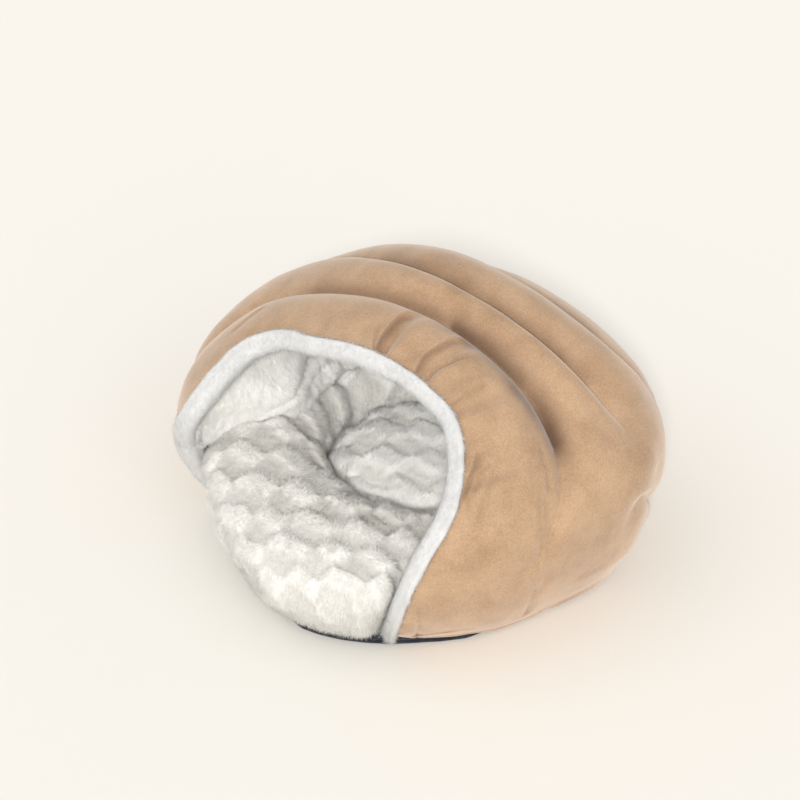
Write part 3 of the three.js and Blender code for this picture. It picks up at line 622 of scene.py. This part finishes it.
def ring_shown(middles, out):
    """Share of the pile that shows on the ring: all but its foot and what the hood covers."""
    across = np.hypot(middles[:, 0], middles[:, 1] - BED_MIDDLE.y)
    open_side = (middles[:, 1] < 0) & (middles[:, 0] < RING_OPEN_RIGHT)
    open_side &= middles[:, 2] > RING_PILE_FROM
    inside = (across < NEST_RADIUS) & (middles[:, 2] > NEST_FROM)
    return (open_side | inside).astype(float) + SLIGHT


ring_pile = grow_pile(
    nest_ring, "ring_pile", RING_STRANDS, PILE_LENGTH, PILE_WIDTH, RING_COMB,
    ring_shown, seed=11,
)
finish_pile(ring_pile, white_plush)


# Floor cushion: a round pad of the same plush, stuffed and dropped loose into the nest.
# It is two rounds sewn edge to edge and turned. The filling swells it, so its top is
# crowned and its seam is out of sight.
# Lighter copies of the plush colours, for the same plush inside the nest: painted light in the
# hollow that the hood shades from the lamps.
NEST_DEEP = (0.94, 0.925, 0.885)
NEST_PALE = (0.975, 0.965, 0.935)
NEST_SHADE = (0.84, 0.815, 0.745)
CUSHION_HEADING = math.radians(-10)
CUSHION_SHRINK = 0.0025
CUSHION_VOXEL = 0.005
CUSHION_PRESSURE = 4
CUSHION_FRAMES = 20
CUSHION_SWELL_CAP = 0.0035
CUSHION_CARVED_FROM = 0.02
CUSHION_CARVED_FADE = 0.02
CUSHION_STRANDS = 60000
CUSHION_COMB = (0.25, 0.55, 0)
CUSHION_PILE_FACING = 0.05


def stuff(piece, shrink, voxel, pressure, cap):
    """Swells a padded piece by cloth simulation from a slightly smaller shape."""
    place_points(piece, points_of(piece) - normals_of(piece) * shrink)
    take(piece)
    piece.data.remesh_voxel_size = voxel
    bpy.ops.object.voxel_remesh()
    start = points_of(piece)
    cloth = piece.modifiers.new("cloth", "CLOTH")
    cloth.settings.use_pressure = True
    cloth.settings.uniform_pressure_force = pressure
    cloth.settings.effector_weights.gravity = 0
    cloth.collision_settings.use_collision = False
    cloth.point_cache.frame_start = 1
    cloth.point_cache.frame_end = CUSHION_FRAMES
    for number in range(1, CUSHION_FRAMES + 1):
        bpy.context.scene.frame_set(number)
    swollen = piece.evaluated_get(bpy.context.evaluated_depsgraph_get())
    moved = read_rows(swollen.data.vertices, "co") - start
    piece.modifiers.remove(cloth)
    bpy.context.scene.frame_set(1)
    far = np.maximum(np.linalg.norm(moved, axis=1), 1e-9)
    moved = moved * (cap * np.tanh(far / cap) / far)[:, None]
    place_points(piece, start + moved)


inside_plush_painted_lighter = pile_material(
    "carved_plush_inside_painted_lighter", PLUSH_NAP, NEST_DEEP, NEST_PALE, NEST_SHADE, PLUSH_SHEEN
)
floor_cushion = cut_from("floor_cushion", "cushion")
stuff(floor_cushion, CUSHION_SHRINK, CUSHION_VOXEL, CUSHION_PRESSURE, CUSHION_SWELL_CAP)
soften(floor_cushion, levels=2, rounds=0)
points = points_of(floor_cushion)
place = (points[:, 0], points[:, 1], points, CUSHION_HEADING)
cushion_patches = carved_patches(*place, PATCH_SLOPE)
cushion_shade = carved_patches(*place, PATCH_RIM)
carved = np.clip((points[:, 2] - CUSHION_CARVED_FROM) / CUSHION_CARVED_FADE, 0, 1)
carve(floor_cushion, cushion_patches, carved, cushion_shade)
finish_piece(floor_cushion, "floor_cushion", inside_plush_painted_lighter)


def upward(middles, out):
    """Share of the pile that shows on the cushion: its top and upper side."""
    return (out[:, 2] > CUSHION_PILE_FACING).astype(float) + SLIGHT


cushion_pile = grow_pile(
    floor_cushion, "cushion_pile", CUSHION_STRANDS, PILE_LENGTH, PILE_WIDTH, CUSHION_COMB,
    upward, seed=12,
)
finish_pile(cushion_pile, inside_plush_painted_lighter)


# Hood lining: the same plush inside the hood, stuffed, and sewn in along the mouth.
# It hangs in soft lumps, bulges out beside the mouth and rests on the ring, with its
# pile combed down. Places on it are told by turn and rise from the middle of the nest.
NEST_MIDDLE = np.array([0, 0.03, 0.06])
LINING_REACH = 0.17
LINING_HEADING = math.radians(-35)
LINING_PATCH_SHARE = 0.3
LINING_SHADE = 0.8
LINING_SMOOTHING = 30
ALL_OF_IT = (-1, 1)
LINING_FINE_RIGHT = -0.02
LINING_FINE_BACK = 0.12
LINING_LUMP = 0.0022
LINING_LUMP_WIDTH = 0.024
LINING_LUMP_STRETCH = 0.45
# The bulges beside the mouth: all in degrees but the swell, which is in metres.
LOBE_COLUMNS = ("turn", "rise", "width", "height", "swell")
LOBES = ((-66, 27, 20, 13, 0.009), (-82, 27, 18, 11, 0.009))
LINING_FOOT_HEIGHT = 0.135
LINING_FOOT_FADE = 0.04
LINING_FOOT_DROP = 0.006
LINING_TOE = -0.05
LINING_TOE_FADE = 0.03
LINING_TOE_DROP = 0.014
LINING_STRANDS = 90000
LINING_COMB = (0.1, -0.2, -1)
LINING_INNER_FADE = 4
LINING_PILE_FACING = 0.1
LINING_FRONT_FACING = -0.3
LINING_FRONT_TO = 0.05
LINING_LEFT_DENSER = 2


def smooth_within(piece, low, high, rounds):
    """Evens out the part of a piece that lies within a box."""
    points = points_of(piece)
    chosen = ((points > low) & (points < high)).all(axis=1)
    choose(piece, "VERT", piece.data.vertices, chosen)
    bpy.ops.mesh.vertices_smooth(factor=0.5, repeat=rounds)
    bpy.ops.object.mode_set(mode="OBJECT")


hood_lining = cut_from("hood_lining", "lining")
soften(hood_lining, levels=2)
smooth_within(hood_lining, *ALL_OF_IT, LINING_SMOOTHING)
middles = centres_of(hood_lining)
near_mouth = (middles[:, 0] < LINING_FINE_RIGHT) & (middles[:, 1] < LINING_FINE_BACK)
refine(hood_lining, near_mouth)
points = points_of(hood_lining)
away = unit(points - NEST_MIDDLE)
side_turn = np.arctan2(away[:, 0], -away[:, 1])
rise = np.arcsin(away[:, 2])
place = (LINING_REACH * side_turn, LINING_REACH * rise, points, LINING_HEADING)
patches = carved_patches(*place, PATCH_SLOPE) - PATCH_LEVEL
rims = carved_patches(*place, PATCH_RIM) - PATCH_LEVEL
lining_patches = PATCH_LEVEL + LINING_PATCH_SHARE * patches
lining_shade = LINING_SHADE + LINING_PATCH_SHARE * rims
lobe = np.zeros(len(points))
for row in LOBES:
    bulge = dict(zip(LOBE_COLUMNS, row))
    aside = (side_turn - math.radians(bulge["turn"])) / math.radians(bulge["width"])
    above = (rise - math.radians(bulge["rise"])) / math.radians(bulge["height"])
    lobe = np.maximum(lobe, bulge["swell"] * np.exp(-aside ** 2 - above ** 2))
draped = np.stack([LINING_REACH * side_turn, LINING_REACH * rise * LINING_LUMP_STRETCH], axis=1)
draped = np.pad(draped, ((0, 0), (0, 1)))
lumps = LINING_LUMP * soft_noise(draped, LINING_LUMP_WIDTH, 7)
lumps *= 1 - lobe / lobe.max()
inner = -(normals_of(hood_lining) * away).sum(axis=1)
inner = np.clip(inner * LINING_INNER_FADE, 0, 1)
place_points(hood_lining, points + normals_of(hood_lining) * (lumps * inner)[:, None])
carve(hood_lining, lining_patches, inner, lining_shade)
points = points_of(hood_lining)
points -= away * (lobe * inner)[:, None]
foot = np.clip((LINING_FOOT_HEIGHT - points[:, 2]) / LINING_FOOT_FADE, 0, 1)
foot *= points[:, 0] < 0
toe = np.clip((LINING_TOE - points[:, 1]) / LINING_TOE_FADE, 0, 1)
points[:, 2] -= (LINING_FOOT_DROP + LINING_TOE_DROP * toe) * foot
place_points(hood_lining, points)
finish_piece(hood_lining, "hood_lining", inside_plush_painted_lighter)


def faces_nest(middles, out):
    """Share of the pile that shows on the lining: what faces the nest or the mouth."""
    inward = -(unit(middles - NEST_MIDDLE) * out).sum(axis=1)
    front = (out[:, 1] < LINING_FRONT_FACING) & (middles[:, 1] < LINING_FRONT_TO)
    shown = ((inward > LINING_PILE_FACING) | front).astype(float)
    return shown * (1 + LINING_LEFT_DENSER * (middles[:, 0] < 0)) + SLIGHT


lining_pile = grow_pile(
    hood_lining, "lining_pile", LINING_STRANDS, PILE_LENGTH, PILE_WIDTH, LINING_COMB,
    faces_nest, seed=13,
)
finish_pile(lining_pile, inside_plush_painted_lighter)


# Hood: tan velvet over a stuffed shell, tacked down along three lines into ribs.
# The velvet is drawn in at the tacks and gathered into the mouth, so pleats and slack
# creases run from the ribs to the binding and down to the hem.
VELVET_DEEP = (0.345, 0.213, 0.122)
VELVET_PALE = (0.54, 0.358, 0.222)
VELVET_PAINTED_SHADE = (0.115, 0.060, 0.034)
VELVET_ROUGHNESS = 0.8
VELVET_SHEEN = 0.5
VELVET_SHEEN_ROUGHNESS = 0.5
VELVET_SHEEN_TINT = (1, 0.92, 0.84)
WAIST_LOW = (0.15, -0.03, 0.045)
WAIST_HIGH = (0.24, 0.14, 0.16)
WAIST_SMOOTHING = 34
SETTLE_ROUNDS = 30
FOLD_STEP = 0.0015
FOLD_NEAR = 0.010
FOLD_RADIUS = 0.16
FOLD_TAPER = 0.22
FOLD_REACH = 3
FOLD_SHADE_FULLER = 1.6
TROUGH_POWER = 1.8
LIP_AWAY = 1.6
LIP_WIDTH = 0.8
PLEAT_ROUNDS = 12
MILLIMETRE = 0.001
OUTER_LEAST = 0.15
OUTER_FROM = -0.1
OUTER_FADE = 0.3
VELVET_SLACK = 0.0007
VELVET_SLACK_SIZE = 0.040
VELVET_CRINKLE = 0.3
VELVET_CRINKLE_SIZE = 0.016
# A row for each fold. Depth, behind, near, far, lip and settle are in millimetres: how deep
# its trough is, how far back that is from its line, its reach to the mouth and to the back,
# the rise of its lip, and how far its line may settle into a valley. Shade, from 0 to 1, is
# the painted shade it puts into the velvet's colour.
# The path is a row of turns and rises in degrees, seen from the middle of the nest.
FOLD_COLUMNS = ("depth", "behind", "near", "far", "lip", "shade", "settle", "path")
FOLD_ROWS = (
    # the crease behind the first rib, which the solid has, so it gets painted shade alone
    (0, 0, 8, 11, 0, 0.55, 17, ((-77, 38), (-74, 49), (-65, 63), (-54, 71), (0, 75), (35, 72),
     (54, 67), (61, 60), (66, 51), (68, 42), (68, 37), (67, 32))),
    # the darker right part of that crease
    (0, -2, 12, 16, 0, 1, 17, ((20, 74), (35, 72), (54, 67), (61, 60), (66, 51), (68, 42),
     (71, 34), (74, 28), (76, 20))),
    # the waist, pressed in behind the right end of the creases
    (4, 0, 24, 20, 0, 0, 1, ((101, 22), (100, 12), (100, 4), (100, -4), (100, -12),
     (101, -20))),
    # the crease behind the second rib
    (1, 0, 8, 15, 0, 0.7, 14, ((-109, 49), (-90, 75), (-120, 80), (76, 83), (86, 74), (107, 70),
     (105, 61), (103, 53), (101, 45), (93, 38), (99, 34))),
    # the crease behind the third rib
    (1, 0, 8, 14, 0, 0.55, 14, ((139, 66), (154, 49), (143, 44), (136, 37), (133, 31))),
    # pleats from the binding over the first rib, from the left to the right
    (5, 0, 2.2, 5.5, 1.2, 0.5, 0, ((18, 76), (11, 73), (9, 70), (8, 66), (7, 63), (8, 61),
     (9, 56))),
    (2.2, 0, 1.8, 3.4, 0.7, 0.2, 0, ((-3, 68), (1, 65), (5, 62), (7, 59), (9, 55))),
    (4, 0, 2.2, 5, 1, 0.4, 0, ((60, 66), (53, 66), (44, 64), (37, 62), (33, 60), (31, 57),
     (29, 53))),
    (3.6, 0, 2, 4.6, 1, 0.35, 0, ((59, 60), (52, 60), (46, 59), (40, 58), (37, 57), (34, 54),
     (32, 50))),
    (2.4, 0, 2.6, 6, 0.5, 0.15, 0, ((60, 52), (53, 50), (47, 48), (44, 46), (40, 43))),
    (3, 0, 1.8, 4, 0.8, 0.35, 0, ((50, 36), (47, 31), (45, 28), (43, 24))),
    (2, 0, 1.8, 3.4, 0.6, 0.15, 0, ((53, 33), (50, 31), (46, 27), (44, 23))),
    (1.4, 0, 2.2, 4.4, 0.4, 0.1, 0, ((55, 34), (52, 30), (49, 26), (46, 19))),
    # the slack under the end of the first crease
    (2.4, 0, 2.2, 4, 0.8, 0.2, 0, ((68, 35), (67, 31), (66, 26), (65, 22))),
    (1.4, 0, 2.6, 6, 0.6, 0.05, 0, ((64, 28), (63, 24), (61, 18), (61, 10), (60, 4))),
    (1.4, 0, 2.6, 6, 0.6, 0.05, 0, ((65, 27), (64, 22), (63, 13), (63, 1), (62, -6))),
    # tucks at the hem
    (2.6, 0, 2, 3.6, 0.6, 0.2, 0, ((61, 2), (61, -3), (61, -5), (61, -9), (61, -14))),
    (2.2, 0, 2, 3.6, 0.6, 0.1, 0, ((34, 3), (34, 0), (34, -5), (33, -13), (33, -18))),
    # wrinkles at the left end of the first rib
    (1, 0, 3, 6, 0.4, 0.05, 0, ((-77, 40), (-75, 37), (-73, 33), (-70, 29))),
    (1, 0, 3, 6, 0.4, 0.05, 0, ((-63, 44), (-61, 41), (-58, 37), (-55, 34))),
    (1.4, 0, 5, 9, 0, 0.1, 0, ((-52, 38), (-46, 43), (-40, 49), (-33, 52), (-28, 55))),
)
SEAM_REACH = 0.008
SEAM_PUCKER = 0.0012
SEAM_PUCKER_SIZE = 0.0065
SEAM_SHADE = 0.55
SEAM_SHADE_REACH = 0.0028
SEAM_OUTER = 0.5
HEM_LAP = 0.0052
HEM_LAP_HEIGHT = 0.034
HEM_LAP_OUT = 0.0015
HEM_LAP_POWER = 1.5
HEM_LAP_AT_MOUTH = 0.25
HEM_OUTER = 0.2
HEM_WAVE = 0.0012
HEM_WAVE_SIZE = 0.018


def toward(turn, rise):
    """The direction from the middle of the nest at a turn from the front and a rise."""
    turn = math.radians(turn)
    rise = math.radians(rise)
    level = math.cos(rise)
    return np.array([math.sin(turn) * level, -math.cos(turn) * level, math.sin(rise)])


def trace_fold(fold, directions, points):
    """A fold's line on the cloth, about a step apart, settled into the valley if it has one."""
    line = []
    for start, end in zip(fold["path"], fold["path"][1:]):
        first = toward(*start)
        last = toward(*end)
        angle = math.acos(np.clip(first @ last, -1, 1))
        steps = max(2, int(angle * FOLD_RADIUS / FOLD_STEP))
        for step in range(steps):
            aim = first + (last - first) * step / steps
            line.append(points[np.argmax(directions @ (aim / np.linalg.norm(aim)))])
    line = np.array(line)
    if fold["settle"]:
        height = np.linalg.norm(points - NEST_MIDDLE, axis=1)
        gap = np.linalg.norm(points[None, :, :] - line[:, None, :], axis=2)
        within = gap < fold["settle"] * MILLIMETRE
        lowest = np.where(within, height, np.inf).argmin(axis=1)
        line = points[lowest]
    for _ in range(SETTLE_ROUNDS if fold["settle"] else PLEAT_ROUNDS):
        line[1:-1] = 0.5 * line[1:-1] + 0.25 * (line[:-2] + line[2:])
    return line


def nearest_on(line, points):
    """For each point, the number of the nearest place on a line and how far it is."""
    gap = np.linalg.norm(points[:, None, :] - line[None, :, :], axis=2)
    return gap.argmin(axis=1), gap.min(axis=1)


velvet, velvet_tree, velvet_shader = new_material("tan_velvet", VELVET_PALE, VELVET_ROUGHNESS)
velvet_shader.inputs["Sheen Weight"].default_value = VELVET_SHEEN
velvet_shader.inputs["Sheen Roughness"].default_value = VELVET_SHEEN_ROUGHNESS
velvet_shader.inputs["Sheen Tint"].default_value = (*VELVET_SHEEN_TINT, 1)
velvet_nap = add_nap(
    velvet_tree, patches=26, streaks=620, grain=1400, deep=VELVET_DEEP, pale=VELVET_PALE
)
# Painted shade: the fold_shade number mixes a dark tan into the velvet's colour, in its creases
# and along its seam to the binding.
velvet_fold = add_node(velvet_tree, "ShaderNodeAttribute", attribute_name="fold_shade")
velvet_mix = add_node(velvet_tree, "ShaderNodeMix", data_type="RGBA")
velvet_mix.inputs["B"].default_value = (*VELVET_PAINTED_SHADE, 1)
velvet_tree.links.new(velvet_fold.outputs["Fac"], velvet_mix.inputs["Factor"])
velvet_tree.links.new(velvet_nap.outputs["Color"], velvet_mix.inputs["A"])
velvet_tree.links.new(velvet_mix.outputs["Result"], velvet_shader.inputs["Base Color"])
add_bump(
    velvet_tree, velvet_shader, velvet_nap.outputs["Height"], strength=0.25, distance=0.0004
)

hood = cut_from("hood_shell", "hood")
soften(hood, levels=2)
smooth_within(hood, WAIST_LOW, WAIST_HIGH, WAIST_SMOOTHING)
points = points_of(hood)
directions = unit(points - NEST_MIDDLE)
outer = (normals_of(hood) * directions).sum(axis=1) > OUTER_LEAST
folds = [dict(zip(FOLD_COLUMNS, row)) for row in FOLD_ROWS]
fold_lines = [trace_fold(fold, directions[outer], points[outer]) for fold in folds]
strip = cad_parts["mouth_binding"].data
strip_tree = BVHTree.FromPolygons(
    [tuple(point) for point in read_rows(strip.vertices, "co")],
    [tuple(face.vertices) for face in strip.polygons],
)


def gap_to_strip(places):
    """How far each place is from the binding."""
    return np.array([strip_tree.find_nearest(Vector(place))[3] for place in places])


middles = centres_of(hood)
near_fold = gap_to_strip(middles) < SEAM_REACH
for fold, line in zip(folds, fold_lines):
    if fold["settle"]:
        continue
    low = line.min(axis=0) - FOLD_NEAR
    high = line.max(axis=0) + FOLD_NEAR
    close = np.flatnonzero(((middles > low) & (middles < high)).all(axis=1))
    _, gap = nearest_on(line, middles[close])
    near_fold[close[gap < FOLD_NEAR]] = True
outward = (read_rows(hood.data.polygons, "normal") * (middles - NEST_MIDDLE)).sum(axis=1) > 0
refine(hood, near_fold & outward)

points = points_of(hood)
normals = normals_of(hood)
directions = unit(points - NEST_MIDDLE)
outer = ((normals * directions).sum(axis=1) - OUTER_FROM) / OUTER_FADE
outer = np.clip(outer, 0, 1)
move = np.zeros(len(points))
fold_shade = np.zeros(len(points))
for fold, line in zip(folds, fold_lines):
    depth, behind, near, far, lip_rise = (
        fold[name] * MILLIMETRE for name in ("depth", "behind", "near", "far", "lip")
    )
    reach = FOLD_REACH * far + behind
    low = line.min(axis=0) - reach
    high = line.max(axis=0) + reach
    close = np.flatnonzero(((points > low) & (points < high)).all(axis=1) & (outer > 0))
    place, gap = nearest_on(line, points[close])
    run = unit(np.gradient(line, axis=0))[place]
    offset = points[close] - line[place]
    sideways = unit(np.cross(normals[close], run))
    across = gap * np.sign((sideways * offset).sum(axis=1))
    share = place / (len(line) - 1)
    taper = np.clip(np.minimum(share, 1 - share) / FOLD_TAPER, 0, 1)
    taper = taper * taper * (3 - 2 * taper)
    past = across - behind
    width = np.where(past < 0, near, far)
    trough = np.exp(-((np.abs(past) / width) ** TROUGH_POWER))
    crest = past + LIP_AWAY * near + behind
    lip = np.exp(-((crest / (LIP_WIDTH * near)) ** 2))
    move[close] += taper * (lip_rise * lip - depth * trough)
    dark = np.exp(-((past / width) ** 2)) * np.minimum(FOLD_SHADE_FULLER * taper, 1)
    dark = dark * fold["shade"]
    fold_shade[close] = np.maximum(fold_shade[close], dark)
crinkle = VELVET_CRINKLE * soft_noise(points, VELVET_CRINKLE_SIZE, 9)
move += VELVET_SLACK * (soft_noise(points, VELVET_SLACK_SIZE, 8) + crinkle)
to_strip = gap_to_strip(points)
pucker = soft_noise(points, SEAM_PUCKER_SIZE, 16) * np.exp(-((to_strip / SEAM_REACH) ** 2))
move += SEAM_PUCKER * pucker
# painted shade along the seam to the binding, on the outside of the velvet
seam_shade = SEAM_SHADE * np.exp(-((to_strip / SEAM_SHADE_REACH) ** 2)) * (outer > SEAM_OUTER)
fold_shade = np.maximum(fold_shade, seam_shade)
points = points + normals * move[:, None] * outer[:, None]
lap = np.clip(1 - points[:, 2] / HEM_LAP_HEIGHT, 0, 1) ** HEM_LAP_POWER * (outer > HEM_OUTER)
lap = lap * (HEM_LAP_AT_MOUTH + (1 - HEM_LAP_AT_MOUTH) * base_hidden(points))
away = points - np.array(BED_MIDDLE)
away[:, 2] = 0
points = points + unit(away) * (lap * HEM_LAP_OUT)[:, None]
points[:, 2] -= lap * (HEM_LAP + HEM_WAVE * soft_noise(points, HEM_WAVE_SIZE, 10))
points[:, 2] = np.maximum(points[:, 2], PILE_CLEAR)
place_points(hood, points)
keep_number(hood, "fold_shade", fold_shade)
finish_piece(hood, "hood_shell", velvet)


# Mouth binding: a folded strip of white short pile round the mouth.
# It wraps the cut edges of the velvet and the lining and is sewn through all of them, so
# its surface is a little uneven and its pile runs along it.
BINDING_DEEP = (0.63, 0.625, 0.615)
BINDING_PALE = (0.76, 0.755, 0.745)
BINDING_SHADE = (0.62, 0.615, 0.60)
BINDING_NAP = (60, 420, 1500)
BINDING_SHEEN = 0.2
BINDING_UNEVEN = 0.0006
BINDING_FULL = 0.0013
BINDING_LUMP = 0.011
BINDING_FINE_LUMP = 0.004
BINDING_FINE_SHARE = 0.6
BINDING_SHADE_LEVEL = 0.55
BINDING_SHADE_VARIES = 0.25
BINDING_STRANDS = 45000
BINDING_PILE_LENGTH = 0.0038
BINDING_PILE_WIDTH = 0.0005
BINDING_COMB = (0.2, -0.3, -0.7)

short_pile = pile_material(
    "short_pile", BINDING_NAP, BINDING_DEEP, BINDING_PALE, BINDING_SHADE, BINDING_SHEEN
)
mouth_binding = cut_from("mouth_binding", "binding")
soften(mouth_binding, levels=2)
points = points_of(mouth_binding)
uneven = soft_noise(points, BINDING_LUMP, 14)
uneven = uneven + BINDING_FINE_SHARE * soft_noise(points, BINDING_FINE_LUMP, 15)
fuller = BINDING_FULL + uneven * BINDING_UNEVEN
place_points(mouth_binding, points + normals_of(mouth_binding) * fuller[:, None])
# Painted shade on the binding: darker where its uneven surface sinks, lighter where it swells.
binding_shade = BINDING_SHADE_LEVEL + BINDING_SHADE_VARIES * uneven
keep_number(mouth_binding, "pile_height_and_painted_shade", binding_shade)
finish_piece(mouth_binding, "mouth_binding", short_pile)


def everywhere(middles, out):
    """Pile all over."""
    return np.ones(len(middles))


binding_pile = grow_pile(
    mouth_binding, "binding_pile", BINDING_STRANDS, BINDING_PILE_LENGTH, BINDING_PILE_WIDTH,
    BINDING_COMB, everywhere, seed=14,
)
finish_pile(binding_pile, short_pile)
